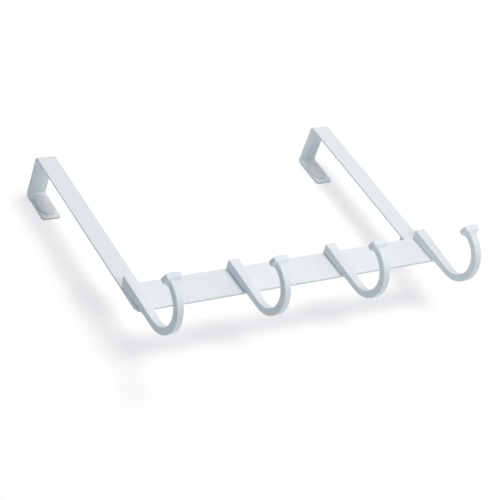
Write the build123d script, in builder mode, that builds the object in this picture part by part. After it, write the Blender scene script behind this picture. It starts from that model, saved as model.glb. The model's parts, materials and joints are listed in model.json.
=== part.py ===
from build123d import *
from math import cos, radians, sin, tan
import os

# Over door hook rack: two bent straps reach over a door and carry a flat bar with cast hooks.
# x runs along the bar with 0 at its middle. y = 0 is the door's front face and +y points into the door.
# z = 0 is the door's top edge and +z points up. All lengths are in millimetres, all angles in degrees.

os.makedirs("parts", exist_ok=True)

# Straps
door_gap = 44.0  # between the front leg and the return lip
strap_width = 20.0
strap_thickness = 2.0
strap_drop = 187.6  # door top down to the bar's top edge
foot_short = 4.5  # the strap's lower end stays above the bar's lower edge
lip_length = 38.5  # door top down to the lip's lower end
fold_radius = 1.0  # inside of both folds
lip_corner = 3.5
strip_corner = 3.0  # strap feet and bar ends
strip_edge = 0.35  # softened edges of straps and bar

# Cross bar
bar_length = 350.0
bar_height = 34.2
bar_thickness = 2.5

# Hooks
hook_count = 4
plate_width = 11.4  # at the bar's top edge
plate_depth = 10.0  # in front of the bar, at the bar's top edge
plate_back_rise = 1.0  # the plate's top end above the bar's top edge, at the bar
plate_front_rise = 1.9  # the same, at the front
front_tilt = 2.75  # the stem's front face leans back towards the bar
side_taper = 1.45  # each side, narrowing downwards
stem_offset = 0.5  # the stem's back stands clear of the bar's front plane
bend_radius = 23.0  # inside of the J
bend_drop = 54.9  # bar's top edge down to the bend's centre
bend_thickness = 7.6  # at the lowest point
upright_lean = 25.0
upright_length = 2.0
upright_thickness = 7.0
flare_length = 6.4
flare_width = 15.8  # where the flare meets the head
flare_depth = 10.7
head_length = 4.7  # flare up to the corners of the head's end
head_crown = 1.3  # the end's middle above its corners
head_width = 16.6  # at the end
head_depth = 11.2
head_corner = 1.4
outer_round = 0.9
inner_round = 0.75
head_round = 0.8
plate_top_round = 0.9

# Screws and locating pegs
screw_diameter = 5.0
screw_engagement = 5.5
screw_head_diameter = 9.5
screw_head_height = 2.8
screw_head_rim = 0.9
screw_tip_chamfer = 0.6
recess_length = 5.0
recess_width = 1.2
recess_depth = 1.6
screw_hole_clearance = 0.5  # on the diameter, in straps and bar
thread_clearance = 0.1  # on the diameter, in the hooks
hole_run_out = 1.0  # blind hole past the screw's end
peg_diameter = 3.0
peg_spacing = 9.0  # screw down to peg
peg_clearance = 0.2  # on the peg hole's diameter, and short of the bar's back

# Pads
lip_pad_inset = 1.5  # strap's edges to the pad's sides
lip_pad_top = 5.0  # bridge's underside down to the pad
lip_pad_length = 28.5
lip_pad_thickness = 2.0
foot_pad_rise = 9.5  # above the bar's top edge
foot_pad_end = 7.0  # above the strap's lower end
foot_pad_thickness = 5.0
foot_pad_corner = 1.5
foot_pad_clearance = 0.75  # beside the screw's head
pad_round = 0.8

# Places that several pieces share
bar_top = -strap_drop
bar_bottom = bar_top - bar_height
bar_back = -strap_thickness
bar_front = bar_back - bar_thickness
strap_foot = bar_bottom + foot_short
screw_height = (bar_top + bar_bottom) / 2
peg_height = screw_height - peg_spacing
strap_reach = (bar_length - strap_width) / 2
hook_reach = (bar_length - plate_width) / 2
hook_pitch = 2 * hook_reach / (hook_count - 1)
hook_places = [i * hook_pitch - hook_reach for i in range(hook_count)]
sides = (("left", -1), ("right", 1))
screw_hole_radius = (screw_diameter + screw_hole_clearance) / 2


def facing_door(x, y, z):
    """A plane at the given place whose normal points at the door."""
    return Plane((x, y, z), x_dir=(1, 0, 0), z_dir=(0, 1, 0))


# Straps: one strip each, folded over the door, with its foot behind the bar
for side, sign in sides:
    with BuildPart() as strap:
        with BuildSketch(Plane.YZ.offset(sign * strap_reach - strap_width / 2)):
            with BuildLine():
                FilletPolyline(
                    (0, strap_foot), (0, 0), (door_gap, 0), (door_gap, -lip_length), radius=fold_radius
                )
                offset(amount=strap_thickness, side=Side.LEFT)
            make_face()
        extrude(amount=strap_width)
        foot_edges, lip_edges = strap.edges().filter_by(Axis.Y).group_by(Axis.Z)[:2]
        fillet(foot_edges, strip_corner)
        fillet(lip_edges, lip_corner)
        across = strap.edges().filter_by(Axis.Y).group_by(SortBy.LENGTH)[0]
        folds = strap.edges().filter_by(Axis.X).group_by(SortBy.LENGTH)[-1]
        fillet(strap.edges() - across - folds, strip_edge)
        with Locations(facing_door(sign * hook_reach, 0, screw_height)):
            Hole(screw_hole_radius)
    strap.part.label = f"{side}_strap"
    export_step(strap.part, f"parts/{side}_strap.step")

# Cross bar in front of both strap feet, flush with the straps' outer edges
with BuildPart() as cross_bar:
    with BuildSketch(facing_door(0, bar_back, screw_height)):
        RectangleRounded(bar_length, bar_height, strip_corner)
    extrude(amount=-bar_thickness)
    fillet(cross_bar.faces().filter_by(Axis.Y).edges(), strip_edge)
    with Locations(*[facing_door(x, bar_back, screw_height) for x in hook_places]):
        Hole(screw_hole_radius)
    with Locations(*[facing_door(x, bar_back, peg_height) for x in hook_places]):
        Hole((peg_diameter + peg_clearance) / 2)
cross_bar.part.label = "cross_bar"
export_step(cross_bar.part, "parts/cross_bar.step")

# The hook's side profile, seen with the bar's front face at 0 and its top edge at 0
tilt, lean = radians(front_tilt), radians(upright_lean)
lean_out = Vector(cos(lean), -sin(lean))
lean_up = Vector(sin(lean), cos(lean))
front_out = Vector(cos(tilt), -sin(tilt))
front_down = Vector(-sin(tilt), -cos(tilt))
front_top = Vector(plate_depth + plate_front_rise * tan(tilt), plate_front_rise)
bend_centre = Vector(plate_depth + (bend_radius - bend_drop * sin(tilt)) / cos(tilt), -bend_drop)
bend_start = bend_centre - front_out * bend_radius
bend_turn = 180 + front_tilt - upright_lean
upright_inside = bend_centre + lean_out * bend_radius
neck_inside = upright_inside + lean_up * upright_length
neck_outside = neck_inside + lean_out * upright_thickness
neck_middle = (neck_inside + neck_outside) / 2

# The outer arc touches the stem's back, the level of the lowest point and the upright's outer face
outer_radius = (
    bend_radius
    + upright_thickness
    - cos(lean) * (stem_offset - bend_centre.X)
    - sin(lean) * (bend_radius + bend_thickness)
) / (1 + cos(lean) - sin(lean))
outer_centre = Vector(
    stem_offset + outer_radius, bend_centre.Y - bend_radius - bend_thickness + outer_radius
)
taper_depth = bar_height + 3 * bend_radius  # past the lowest point
taper_reach = 4 * bend_radius  # past the upright
taper_foot = plate_width / 2 - taper_depth * tan(radians(side_taper))
taper_top = plate_width / 2 + plate_front_rise * tan(radians(side_taper))


def edges_along(part, plane, lines):
    """Edges of a part that run beside the given lines of its side profile."""

    def is_beside(edge):
        middle = plane.to_local_coords(edge @ 0.5)
        return any(line.distance_to(Vector(middle.X, middle.Y)) < 0.01 for line in lines)

    return part.edges().filter_by(Axis.X, reverse=True).filter_by(is_beside)


# Hooks: cast J with a plate on the bar, a tapered bend and a flared head
for number, hook_x in enumerate(hook_places, start=1):
    profile_plane = Plane((hook_x, bar_front, bar_top), x_dir=(0, -1, 0), z_dir=(-1, 0, 0))
    head_axis = Axis((0, 0, 0), (0, -lean_up.X, lean_up.Y))
    head_plane = Plane(
        profile_plane.from_local_coords(neck_middle), x_dir=(1, 0, 0), z_dir=head_axis.direction
    )
    with BuildPart() as hook:
        with BuildSketch(profile_plane):
            with BuildLine():
                front = Line(front_top, bend_start)
                inner_bend = JernArc(bend_start, front_down, bend_radius, bend_turn)
                upright_in = Line(upright_inside, neck_inside)
                Line(neck_inside, neck_outside)
                upright_out = Line(neck_outside, outer_centre + lean_out * outer_radius)
                outer_bend = JernArc(upright_out @ 1, -lean_up, outer_radius, upright_lean - 180)
                stem_back = Line(outer_bend @ 1, (stem_offset, -bar_height - stem_offset))
                Polyline(stem_back @ 1, (0, -bar_height), (0, plate_back_rise), front_top)
            make_face()
        extrude(amount=plate_width, both=True)
        with BuildSketch(Plane(profile_plane.origin, x_dir=(1, 0, 0), z_dir=(0, -1, 0))):
            with BuildLine():
                Polyline(
                    (-taper_top, plate_front_rise),
                    (taper_top, plate_front_rise),
                    (taper_foot, -taper_depth),
                    (-taper_foot, -taper_depth),
                    close=True,
                )
            make_face()
        extrude(amount=taper_reach, both=True, mode=Mode.INTERSECT)
        fillet(edges_along(hook, profile_plane, [stem_back, outer_bend, upright_out]), outer_round)
        fillet(edges_along(hook, profile_plane, [front, inner_bend, upright_in]), inner_round)
        plate_top = hook.faces().sort_by(Axis.Z)[-1]
        fillet(plate_top.edges().sort_by(Axis.Y)[:-1], plate_top_round)

        # The flare opens with the square of its rise, so it leaves the upright smoothly
        neck = hook.faces().filter_by(head_axis)[0]
        neck_width = neck.bounding_box().size.X
        add(neck)
        for rise in (0.5, 1):
            with BuildSketch(head_plane.offset(rise * flare_length)):
                RectangleRounded(
                    neck_width + (flare_width - neck_width) * rise**2,
                    upright_thickness + (flare_depth - upright_thickness) * rise**2,
                    head_corner,
                )
        loft()

        # The head widens on, up to a crowned end
        head_end = head_plane.offset(flare_length + head_length + head_crown)
        add(hook.faces().filter_by(head_axis)[0])
        with BuildSketch(head_end):
            RectangleRounded(head_width, head_depth, head_corner)
        loft()
        with BuildSketch(Plane(head_end.origin, x_dir=(1, 0, 0), z_dir=-head_plane.y_dir)):
            with BuildLine():
                corner = Vector(head_width / 2, -head_crown)
                crown = ThreePointArc((-corner.X, corner.Y), (0, 0), corner)
                Polyline(corner, (corner.X, head_crown), (-corner.X, head_crown), crown @ 0)
            make_face()
        extrude(amount=head_depth, both=True, mode=Mode.SUBTRACT)
        fillet(hook.faces().sort_by_distance(head_end.origin)[0].edges(), head_round)

        # Back of the plate: threaded hole for the screw, peg that stops the hook from turning
        with Locations(facing_door(hook_x, bar_front, screw_height)):
            Hole((screw_diameter + thread_clearance) / 2, screw_engagement + hole_run_out)
        with BuildSketch(facing_door(hook_x, bar_front, peg_height)):
            Circle(peg_diameter / 2)
        extrude(amount=bar_thickness - peg_clearance)
    hook.part.label = f"hook_{number}"
    export_step(hook.part, f"parts/hook_{number}.step")

# Screws, driven from behind: the end ones through strap and bar, the others through the bar alone
screw_groups = (
    ("end_hook_screws", (hook_places[0], hook_places[-1]), 0),
    ("middle_hook_screws", hook_places[1:-1], bar_back),
)
for name, places, seat in screw_groups:
    tip = bar_front - screw_engagement - seat
    with BuildPart() as screws:
        for screw_x in places:
            with BuildSketch(Plane((screw_x, seat, screw_height))):
                with BuildLine():
                    Polyline(
                        (0, screw_head_height),
                        (0, tip),
                        (screw_diameter / 2 - screw_tip_chamfer, tip),
                        (screw_diameter / 2, tip + screw_tip_chamfer),
                        (screw_diameter / 2, 0),
                        (screw_head_diameter / 2, 0),
                        (screw_head_diameter / 2, screw_head_rim),
                    )
                    TangentArc(
                        (0, screw_head_height),
                        (screw_head_diameter / 2, screw_head_rim),
                        tangent=(1, 0),
                    )
                make_face()
            revolve(axis=Axis((screw_x, seat, screw_height), (0, 1, 0)))
            with BuildSketch(facing_door(screw_x, seat + screw_head_height, screw_height)):
                Rectangle(recess_length, recess_width)
                Rectangle(recess_width, recess_length)
            extrude(amount=-recess_depth, mode=Mode.SUBTRACT)
    screws.part.label = name
    export_step(screws.part, f"parts/{name}.step")

# Soft pads: a rounded one inside each lip, a block behind each foot beside the screw's head
foot_pad_width = strap_width - plate_width / 2 - screw_head_diameter / 2 - foot_pad_clearance
foot_pad_reach = bar_length / 2 - strap_width + foot_pad_width / 2
foot_pad_top = bar_top + foot_pad_rise
foot_pad_length = foot_pad_top - strap_foot - foot_pad_end
for side, sign in sides:
    with BuildPart() as lip_pad:
        with BuildSketch(facing_door(sign * strap_reach, door_gap, -lip_pad_top - lip_pad_length / 2)):
            SlotOverall(lip_pad_length, strap_width - 2 * lip_pad_inset, rotation=90)
        extrude(amount=-lip_pad_thickness)
        fillet(lip_pad.faces().sort_by(Axis.Y)[0].edges(), pad_round)
    lip_pad.part.label = f"{side}_lip_pad"
    export_step(lip_pad.part, f"parts/{side}_lip_pad.step")

    with BuildPart() as foot_pad:
        with BuildSketch(facing_door(sign * foot_pad_reach, 0, foot_pad_top - foot_pad_length / 2)):
            RectangleRounded(foot_pad_width, foot_pad_length, foot_pad_corner)
        extrude(amount=foot_pad_thickness)
        fillet(foot_pad.faces().sort_by(Axis.Y)[-1].edges(), pad_round)
    foot_pad.part.label = f"{side}_foot_pad"
    export_step(foot_pad.part, f"parts/{side}_foot_pad.step")
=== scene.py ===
import bpy
import json
import math
from mathutils import Matrix, Vector


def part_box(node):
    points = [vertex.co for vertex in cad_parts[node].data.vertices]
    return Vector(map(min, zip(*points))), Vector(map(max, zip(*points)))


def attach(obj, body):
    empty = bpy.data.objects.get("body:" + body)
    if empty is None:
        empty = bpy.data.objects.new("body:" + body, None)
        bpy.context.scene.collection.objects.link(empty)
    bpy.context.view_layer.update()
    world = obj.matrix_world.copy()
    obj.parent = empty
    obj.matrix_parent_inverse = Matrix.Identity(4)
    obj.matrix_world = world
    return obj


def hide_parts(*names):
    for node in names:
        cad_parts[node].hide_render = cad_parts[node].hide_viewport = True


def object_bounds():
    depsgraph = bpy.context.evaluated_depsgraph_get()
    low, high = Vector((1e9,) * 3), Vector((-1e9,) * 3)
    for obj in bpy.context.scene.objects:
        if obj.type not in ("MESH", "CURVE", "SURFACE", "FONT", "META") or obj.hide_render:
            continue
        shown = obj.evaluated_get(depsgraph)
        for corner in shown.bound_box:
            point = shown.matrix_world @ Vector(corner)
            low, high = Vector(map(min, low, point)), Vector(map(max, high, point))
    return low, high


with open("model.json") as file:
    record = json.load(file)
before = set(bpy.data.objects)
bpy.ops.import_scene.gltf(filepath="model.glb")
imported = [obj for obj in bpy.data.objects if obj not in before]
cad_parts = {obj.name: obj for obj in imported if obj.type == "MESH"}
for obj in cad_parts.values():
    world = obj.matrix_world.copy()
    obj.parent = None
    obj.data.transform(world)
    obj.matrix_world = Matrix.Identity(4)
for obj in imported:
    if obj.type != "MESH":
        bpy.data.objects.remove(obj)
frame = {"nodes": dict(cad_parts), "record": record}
cadBox = [list(corner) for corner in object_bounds()]
nodes = frame["nodes"]
print("frame loaded:", len(nodes), "rack parts")


# small helpers for node trees

noiseLow, noiseHigh = 0.3, 0.7  # most of a noise lies between these


def addNode(tree, kind, label, **settings):
    node = tree.nodes.new(kind)
    node.label = label
    for key, value in settings.items():
        setattr(node, key, value)
    return node


def startMaterial(name):
    material = bpy.data.materials.new(name)
    material.use_nodes = True
    tree = material.node_tree
    return material, tree, tree.nodes["Principled BSDF"]


def addNoise(tree, coords, label, scale, detail):
    noise = addNode(tree, "ShaderNodeTexNoise", label)
    noise.inputs["Scale"].default_value = scale
    noise.inputs["Detail"].default_value = detail
    tree.links.new(coords.outputs["Object"], noise.inputs["Vector"])
    return noise.outputs["Fac"]


def addRange(tree, source, label, fromLow, fromHigh, toLow=0, toHigh=1):
    span = addNode(tree, "ShaderNodeMapRange", label)
    span.inputs["From Min"].default_value = fromLow
    span.inputs["From Max"].default_value = fromHigh
    span.inputs["To Min"].default_value = toLow
    span.inputs["To Max"].default_value = toHigh
    tree.links.new(source, span.inputs["Value"])
    return span.outputs["Result"]


def spread(tree, noise, label, low, high):
    return addRange(tree, noise, label, noiseLow, noiseHigh, low, high)


def addMix(tree, factor, label, first, second):
    # first is a colour or another node's output
    mix = addNode(tree, "ShaderNodeMix", label, data_type="RGBA")
    if isinstance(first, tuple):
        mix.inputs["A"].default_value = (*first, 1)
    else:
        tree.links.new(first, mix.inputs["A"])
    mix.inputs["B"].default_value = (*second, 1)
    tree.links.new(factor, mix.inputs["Factor"])
    return mix.outputs["Result"]


def addMath(tree, operation, label, *values):
    # each value is a number or another node's output
    calculation = addNode(tree, "ShaderNodeMath", label, operation=operation)
    for socket, value in zip(calculation.inputs, values):
        if isinstance(value, (int, float)):
            socket.default_value = value
        else:
            tree.links.new(value, socket)
    return calculation.outputs["Value"]


def addBump(tree, height, label, strength, depth, under=None):
    bump = addNode(tree, "ShaderNodeBump", label)
    bump.inputs["Strength"].default_value = strength
    bump.inputs["Distance"].default_value = depth
    tree.links.new(height, bump.inputs["Height"])
    if under:
        tree.links.new(under, bump.inputs["Normal"])
    return bump.outputs["Normal"]


# white powder coat on straps, bar and hooks, with painted shade in crevices and on the lips' narrow
# sides

powderCoat = {
    "white": (0.785, 0.822, 0.845),
    "thin": (0.76, 0.797, 0.824),  # where the coat lies a little thinner
    "thinScale": 38,               # waves per metre, as all scales here
    "smooth": 0.36,
    "rough": 0.5,
    "ior": 1.47,
    "bump": 0.5,
    "peelScale": 750,              # orange peel
    "peelDepth": 0.00006,
    "grainScale": 4200,
    "grainDepth": 0.00001,
    "creviceShade": (0.26, 0.30, 0.32),    # painted shade in the crevice where two parts meet
    "creviceShadeReach": 0.0014,
    "creviceShadeOpen": 0.85,              # openness where the painted shade starts
    "creviceShadeShut": 0.5,               # openness where it is full
    "lipEdgeShade": (0.36, 0.39, 0.40),  # painted shade on the lips' narrow sides
    "lipEdgeShadeScale": 600,
    "lipEdgeShadeLeast": 0.7,
    "lipEdgeShadeFlat": 0.6,                # faces flatter to the door than this get no painted shade
    "lipEdgeShadeNarrow": 0.2,
    "lipFrom": 0.04,               # the lips lie behind this depth
    "foldBelow": -0.003,           # and below this height
}


def addCreviceShade(tree, coat, look):
    # painted shade: where ambient occlusion finds a crevice between two parts, the coat is darkened
    crevice = addNode(tree, "ShaderNodeAmbientOcclusion", "crevice", samples=8)
    crevice.inputs["Distance"].default_value = look["creviceShadeReach"]
    line = addRange(tree, crevice.outputs["AO"], "seam line", look["creviceShadeOpen"], look["creviceShadeShut"])
    return addMix(tree, line, "coat or seam", coat, look["creviceShade"])


def addLipEdgeShade(tree, coat, look):
    # painted shade on the narrow sides of the return lips, a little patchy
    coords = addNode(tree, "ShaderNodeTexCoord", "lip coordinates")
    place = addNode(tree, "ShaderNodeSeparateXYZ", "strip place")
    tree.links.new(coords.outputs["Object"], place.inputs["Vector"])
    geometry = addNode(tree, "ShaderNodeNewGeometry", "strip faces")
    normal = addNode(tree, "ShaderNodeSeparateXYZ", "face direction")
    tree.links.new(geometry.outputs["True Normal"], normal.inputs["Vector"])
    flatness = addMath(tree, "ABSOLUTE", "flat to the door", normal.outputs["Y"])
    narrow = addRange(tree, flatness, "narrow sides", look["lipEdgeShadeFlat"], look["lipEdgeShadeNarrow"])
    below = addMath(tree, "LESS_THAN", "below the fold", place.outputs["Z"], look["foldBelow"])
    behind = addMath(tree, "GREATER_THAN", "behind the door", place.outputs["Y"], look["lipFrom"])
    marks = addNoise(tree, coords, "lipShade marks", scale=look["lipEdgeShadeScale"], detail=2)
    patchy = spread(tree, marks, "patchy lipShade", look["lipEdgeShadeLeast"], 1)
    shaded = addMath(tree, "MULTIPLY", "narrow lip sides", narrow, below)
    shaded = addMath(tree, "MULTIPLY", "behind only", shaded, behind)
    shaded = addMath(tree, "MULTIPLY", "worn coat", shaded, patchy)
    return addMix(tree, shaded, "coat or lipShade", coat, look["lipEdgeShade"])


def makePowderCoat(name, look, addPaintedShade):
    material, tree, shader = startMaterial(name)
    coords = addNode(tree, "ShaderNodeTexCoord", "coat place")
    cloud = addNoise(tree, coords, "coat thickness", scale=look["thinScale"], detail=3)
    peel = addNoise(tree, coords, "orange peel", scale=look["peelScale"], detail=2)
    grain = addNoise(tree, coords, "powder grain", scale=look["grainScale"], detail=1)
    tone = spread(tree, cloud, "thickness spread", 0, 1)
    coat = addMix(tree, tone, "coat tone", look["white"], look["thin"])
    # the coat gets painted shade here, in crevices or on the lips' narrow sides
    tree.links.new(addPaintedShade(tree, coat, look), shader.inputs["Base Color"])
    gloss = spread(tree, peel, "gloss spread", look["smooth"], look["rough"])
    tree.links.new(gloss, shader.inputs["Roughness"])
    peelNormal = addBump(tree, peel, "peel bump", look["bump"], look["peelDepth"])
    grainNormal = addBump(tree, grain, "grain bump", look["bump"], look["grainDepth"], peelNormal)
    tree.links.new(grainNormal, shader.inputs["Normal"])
    shader.inputs["IOR"].default_value = look["ior"]
    return material


# bright zinc on the screws

zincPlate = {
    "bright": (0.66, 0.67, 0.69),
    "dull": (0.52, 0.53, 0.55),
    "smooth": 0.24,
    "rough": 0.42,
    "spangleScale": 900,
    "bump": 0.4,
    "scratchDepth": 0.00003,
}


def makeZinc(look):
    material, tree, shader = startMaterial("zincPlate")
    coords = addNode(tree, "ShaderNodeTexCoord", "plate place")
    spangle = addNoise(tree, coords, "zinc spangle", scale=look["spangleScale"], detail=4)
    tone = spread(tree, spangle, "spangle spread", 0, 1)
    colour = addMix(tree, tone, "zinc tone", look["bright"], look["dull"])
    tree.links.new(colour, shader.inputs["Base Color"])
    gloss = spread(tree, spangle, "zinc gloss", look["smooth"], look["rough"])
    tree.links.new(gloss, shader.inputs["Roughness"])
    normal = addBump(tree, spangle, "zinc bump", look["bump"], look["scratchDepth"])
    tree.links.new(normal, shader.inputs["Normal"])
    shader.inputs["Metallic"].default_value = 1
    return material


# frosted grey vinyl of the pads

vinyl = {
    "pale": (0.76, 0.76, 0.745),
    "deep": (0.70, 0.70, 0.69),
    "smooth": 0.42,
    "rough": 0.6,
    "mottleScale": 160,
    "frostScale": 2600,
    "bump": 0.5,
    "frostDepth": 0.00002,
    "milky": 0.15,                        # share of light that goes in
    "milkyReach": (0.002, 0.002, 0.002),
}


def makeVinyl(look):
    material, tree, shader = startMaterial("greyVinyl")
    coords = addNode(tree, "ShaderNodeTexCoord", "pad place")
    mottle = addNoise(tree, coords, "vinyl mottle", scale=look["mottleScale"], detail=3)
    frost = addNoise(tree, coords, "vinyl frost", scale=look["frostScale"], detail=2)
    tone = spread(tree, mottle, "mottle spread", 0, 1)
    colour = addMix(tree, tone, "vinyl tone", look["pale"], look["deep"])
    tree.links.new(colour, shader.inputs["Base Color"])
    gloss = spread(tree, frost, "vinyl gloss", look["smooth"], look["rough"])
    tree.links.new(gloss, shader.inputs["Roughness"])
    normal = addBump(tree, frost, "frost bump", look["bump"], look["frostDepth"])
    tree.links.new(normal, shader.inputs["Normal"])
    shader.inputs["Subsurface Weight"].default_value = look["milky"]
    shader.inputs["Subsurface Radius"].default_value = look["milkyReach"]
    return material


# both coats carry painted shade: in crevices on the plain coat, on the lips' narrow sides on the
# straps' coat
paint = makePowderCoat("whitePowderCoat", powderCoat, addCreviceShade)
strapPaint = makePowderCoat("strapPowderCoat", powderCoat, addLipEdgeShade)
zinc = makeZinc(zincPlate)
padVinyl = makeVinyl(vinyl)
print("materials made")

finishes = {"white_paint": paint, "zinc": zinc, "soft_pad": padVinyl}
for part in frame["record"]["subparts"]:
    isStrap = part["node"].endswith("strap")
    for materialSlot in nodes[part["node"]].material_slots:
        materialSlot.material = strapPaint if isStrap else finishes[part["material_slot"]]
print("rack parts painted")


# soft pads: moulded vinyl, rounded edge and a slightly crowned face, shaped in millimetres

millimetre = 0.001
sameDepth = 0.001  # mm, points this close lie at one depth
padSmoothing = math.radians(50)

lipPad = {
    "ends": 8.4,                          # corner radius
    "endSteps": 14,
    "rim": 0.9,                           # rounding of the face's edge
    "rimSteps": 6,
    "crown": [(1.4, 0.12), (1.8, 0.08)],  # inset and lift
    "towardsDoor": -1,                    # the face looks at the door's back
}
footPad = {
    "ends": 1.5,
    "endSteps": 14,
    "rim": 0.8,
    "rimSteps": 6,
    "crown": [(0.55, 0.15)],
    "towardsDoor": 1,
}


def deselectAll():
    bpy.ops.object.select_all(action="DESELECT")


def isAtDepth(point, depth):
    return abs(point.y - depth) < sameDepth


def pickEdges(mesh, test):
    # edges whose two ends pass the test
    bpy.ops.mesh.select_mode(type="EDGE")
    bpy.ops.mesh.select_all(action="DESELECT")
    bpy.ops.object.mode_set(mode="OBJECT")
    for edge in mesh.edges:
        edge.select = test(*[mesh.vertices[i].co for i in edge.vertices])
    bpy.ops.object.mode_set(mode="EDIT")


def pickFace(mesh, depth):
    # the flat face at one depth
    bpy.ops.mesh.select_mode(type="FACE")
    bpy.ops.mesh.select_all(action="DESELECT")
    bpy.ops.object.mode_set(mode="OBJECT")
    for face in mesh.polygons:
        face.select = all(isAtDepth(mesh.vertices[i].co, depth) for i in face.vertices)
    bpy.ops.object.mode_set(mode="EDIT")


def shapePad(name, nodeName, look):
    low, high = [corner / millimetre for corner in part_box(nodeName)]
    middle = (low + high) / 2
    facing = look["towardsDoor"]
    seat = low.y if facing > 0 else high.y
    face = seat + facing * (high.y - low.y - sum(rise for inset, rise in look["crown"]))
    deselectAll()
    bpy.ops.mesh.primitive_cube_add(size=1, location=(middle.x, (seat + face) / 2, middle.z))
    pad = bpy.context.object
    pad.name = name
    pad.scale = (high.x - low.x, abs(face - seat), high.z - low.z)
    bpy.ops.object.transform_apply(location=True, rotation=True, scale=True)
    mesh = pad.data
    bpy.ops.object.mode_set(mode="EDIT")
    pickEdges(mesh, lambda start, end: not isAtDepth(start, end.y))  # the four corners
    bpy.ops.mesh.bevel(offset=look["ends"], segments=look["endSteps"], affect="EDGES")
    pickEdges(mesh, lambda start, end: isAtDepth(start, face) and isAtDepth(end, face))
    bpy.ops.mesh.bevel(offset=look["rim"], segments=look["rimSteps"], affect="EDGES")
    pickFace(mesh, face)
    for inset, rise in look["crown"]:
        bpy.ops.mesh.inset(thickness=inset, depth=rise)
    bpy.ops.object.mode_set(mode="OBJECT")
    pad.scale = (millimetre, millimetre, millimetre)
    bpy.ops.object.transform_apply(location=True, rotation=True, scale=True)
    bpy.ops.object.shade_smooth_by_angle(angle=padSmoothing)
    mesh.materials.append(padVinyl)
    return pad


def copyPad(pad, name, fromNode, toNode):
    # same pad on the other strap
    deselectAll()
    pad.select_set(True)
    bpy.context.view_layer.objects.active = pad
    bpy.ops.object.duplicate(linked=False)
    twin = bpy.context.object
    twin.name = name
    twin.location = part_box(toNode)[0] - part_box(fromNode)[0]
    bpy.ops.object.transform_apply(location=True, rotation=False, scale=False)
    return twin


def seatPad(pad, nodeName):
    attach(pad, "root")
    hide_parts(nodeName)


leftLipPad = shapePad("leftLipPad", "left_lip_pad", lipPad)
leftFootPad = shapePad("leftFootPad", "left_foot_pad", footPad)
rightLipPad = copyPad(leftLipPad, "rightLipPad", "left_lip_pad", "right_lip_pad")
rightFootPad = copyPad(leftFootPad, "rightFootPad", "left_foot_pad", "right_foot_pad")
seatPad(leftLipPad, "left_lip_pad")
seatPad(leftFootPad, "left_foot_pad")
seatPad(rightLipPad, "right_lip_pad")
seatPad(rightFootPad, "right_foot_pad")
print("pads made")


# paper floor: the rack lies on its back, so the floor stands upright behind the lips

floorLook = {
    "white": (0.99, 0.94, 0.93),
    "size": 12.0,
    "gap": 0.0002,
    "pale": 0.1,  # how far the shadow is lifted towards white
    "glow": 2.62,
    "rise": 6.6,  # more glow away from the lamp, so the paper stays even
    "lampFoot": (0.08, -0.21, 0),
}


def addEvenGlow(tree, look):
    # the glow grows with the square of the distance from the lamp's foot
    coords = addNode(tree, "ShaderNodeTexCoord", "paper place")
    away = addNode(tree, "ShaderNodeVectorMath", "from under the lamp", operation="SUBTRACT")
    away.inputs[1].default_value = look["lampFoot"]
    tree.links.new(coords.outputs["Object"], away.inputs[0])
    square = addNode(tree, "ShaderNodeVectorMath", "distance squared", operation="DOT_PRODUCT")
    tree.links.new(away.outputs["Vector"], square.inputs[0])
    tree.links.new(away.outputs["Vector"], square.inputs[1])
    strength = addMath(
        tree, "MULTIPLY_ADD", "evened glow", square.outputs["Value"], look["rise"], look["glow"]
    )
    glow = addNode(tree, "ShaderNodeEmission", "even white")
    glow.inputs["Color"].default_value = (*look["white"], 1)
    tree.links.new(strength, glow.inputs["Strength"])
    return glow.outputs["Emission"]


def makePaper(look):
    material, tree, shader = startMaterial("floorPaper")
    tree.nodes.remove(shader)
    paper = addNode(tree, "ShaderNodeBsdfDiffuse", "white paper")
    paper.inputs["Color"].default_value = (*look["white"], 1)
    lifted = addNode(tree, "ShaderNodeMixShader", "pale shadow")
    lifted.inputs["Fac"].default_value = look["pale"]
    tree.links.new(paper.outputs["BSDF"], lifted.inputs[1])
    tree.links.new(addEvenGlow(tree, look), lifted.inputs[2])
    clear = addNode(tree, "ShaderNodeBsdfTransparent", "seen from behind")
    side = addNode(tree, "ShaderNodeNewGeometry", "which side")
    oneSided = addNode(tree, "ShaderNodeMixShader", "one-sided floor")
    tree.links.new(side.outputs["Backfacing"], oneSided.inputs["Fac"])
    tree.links.new(lifted.outputs["Shader"], oneSided.inputs[1])
    tree.links.new(clear.outputs["BSDF"], oneSided.inputs[2])
    tree.links.new(oneSided.outputs["Shader"], tree.nodes["Material Output"].inputs["Surface"])
    return material


def makeFloor(look):
    restDepth = cadBox[1][1] + look["gap"]
    upright = (math.radians(90), 0, 0)
    deselectAll()
    bpy.ops.mesh.primitive_plane_add(size=look["size"], location=(0, restDepth, 0), rotation=upright)
    floor = bpy.context.object
    floor.name = "floor"
    floor.data.materials.append(makePaper(look))
    floor.visible_diffuse = False  # the sky's bright side stands for the paper's bounce
    floor.visible_shadow = False   # and reaches the rack through the floor


# soft sky and three lamps

softSky = {
    "towards": (0.3, 0.87, 0.08),
    "bright": (0.88, 0.885, 0.89),
    "dim": (0.074, 0.161, 0.25),
}
overhead = {
    "place": (0.08, -0.87, 0.056),
    "aim": (0.08, 0.0, 0.056),
    "width": 0.8,
    "height": 0.6,
    "colour": (1.0, 0.895, 0.80),
    "power": 5.58,
}
frontFill = {
    "place": (0.08, -0.5, -0.65),
    "aim": (-0.05, 0.0, -0.15),
    "width": 0.4,
    "height": 0.4,
    "colour": (0.985, 1.0, 0.9),
    "power": 1.42,
}
rearFill = {
    "place": (0.0, 0.9, -0.12),
    "aim": (0.0, 0.0, -0.12),
    "width": 0.8,
    "height": 0.6,
    "colour": (1.0, 0.97, 0.93),
    "power": 1.4,
}


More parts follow.
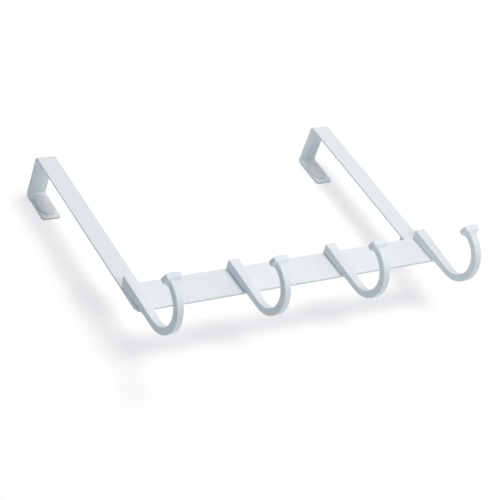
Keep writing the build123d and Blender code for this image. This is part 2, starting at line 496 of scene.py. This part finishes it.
def makeSky(look):
    world = bpy.data.worlds.new("softSky")
    bpy.context.scene.world = world
    world.use_nodes = True
    tree = world.node_tree
    tree.nodes.clear()
    coords = addNode(tree, "ShaderNodeTexCoord", "sky direction")
    along = addNode(tree, "ShaderNodeVectorMath", "along the light", operation="DOT_PRODUCT")
    along.inputs[1].default_value = Vector(look["towards"]).normalized()
    tree.links.new(coords.outputs["Generated"], along.inputs[0])
    share = addRange(tree, along.outputs["Value"], "share of light", -1, 1)
    glow = addNode(tree, "ShaderNodeBackground", "soft light")
    tree.links.new(addMix(tree, share, "sky tone", look["dim"], look["bright"]), glow.inputs["Color"])
    plain = addNode(tree, "ShaderNodeBackground", "plain white")
    plain.inputs["Color"].default_value = (1, 1, 1, 1)
    rays = addNode(tree, "ShaderNodeLightPath", "who looks").outputs
    seen = addMath(tree, "MAXIMUM", "camera or gloss", rays["Is Camera Ray"], rays["Is Glossy Ray"])
    seen = addMath(tree, "MAXIMUM", "or through", seen, rays["Is Transmission Ray"])
    mix = addNode(tree, "ShaderNodeMixShader", "light or backdrop")
    tree.links.new(seen, mix.inputs["Fac"])
    tree.links.new(glow.outputs["Background"], mix.inputs[1])
    tree.links.new(plain.outputs["Background"], mix.inputs[2])
    output = addNode(tree, "ShaderNodeOutputWorld", "sky out")
    tree.links.new(mix.outputs["Shader"], output.inputs["Surface"])


def makeLamp(name, look):
    data = bpy.data.lights.new(name, "AREA")
    data.shape = "ELLIPSE"
    data.size = look["width"]
    data.size_y = look["height"]
    data.color = look["colour"]
    data.energy = look["power"]
    lamp = bpy.data.objects.new(name, data)
    lamp.location = look["place"]
    away = Vector(look["place"]) - Vector(look["aim"])
    lamp.rotation_euler = away.to_track_quat("Z", "Y").to_euler()
    bpy.context.scene.collection.objects.link(lamp)


makeFloor(floorLook)
makeSky(softSky)
makeLamp("overhead", overhead)
makeLamp("frontFill", frontFill)
makeLamp("rearFill", rearFill)
bpy.context.scene.view_settings.view_transform = "Standard"
print("floor and light made")


# camera at the photograph's angle

cameraLook = {
    "place": (-0.8762, -0.9602, -1.0847),
    "right": (0.8310, -0.2797, -0.4808),
    "up": (0.1292, -0.7437, 0.6559),
    "lens": 118.15,
    "sensor": 36.0,
}


def makeCamera(look):
    data = bpy.data.cameras.new("photoCamera")
    data.lens = look["lens"]
    data.sensor_width = look["sensor"]
    camera = bpy.data.objects.new("photoCamera", data)
    bpy.context.scene.collection.objects.link(camera)
    right = Vector(look["right"]).normalized()
    back = right.cross(Vector(look["up"])).normalized()
    up = back.cross(right)
    turn = Matrix((right, up, back)).transposed()
    camera.matrix_world = Matrix.Translation(look["place"]) @ turn.to_4x4()
    bpy.context.scene.camera = camera


makeCamera(cameraLook)
print("camera placed")
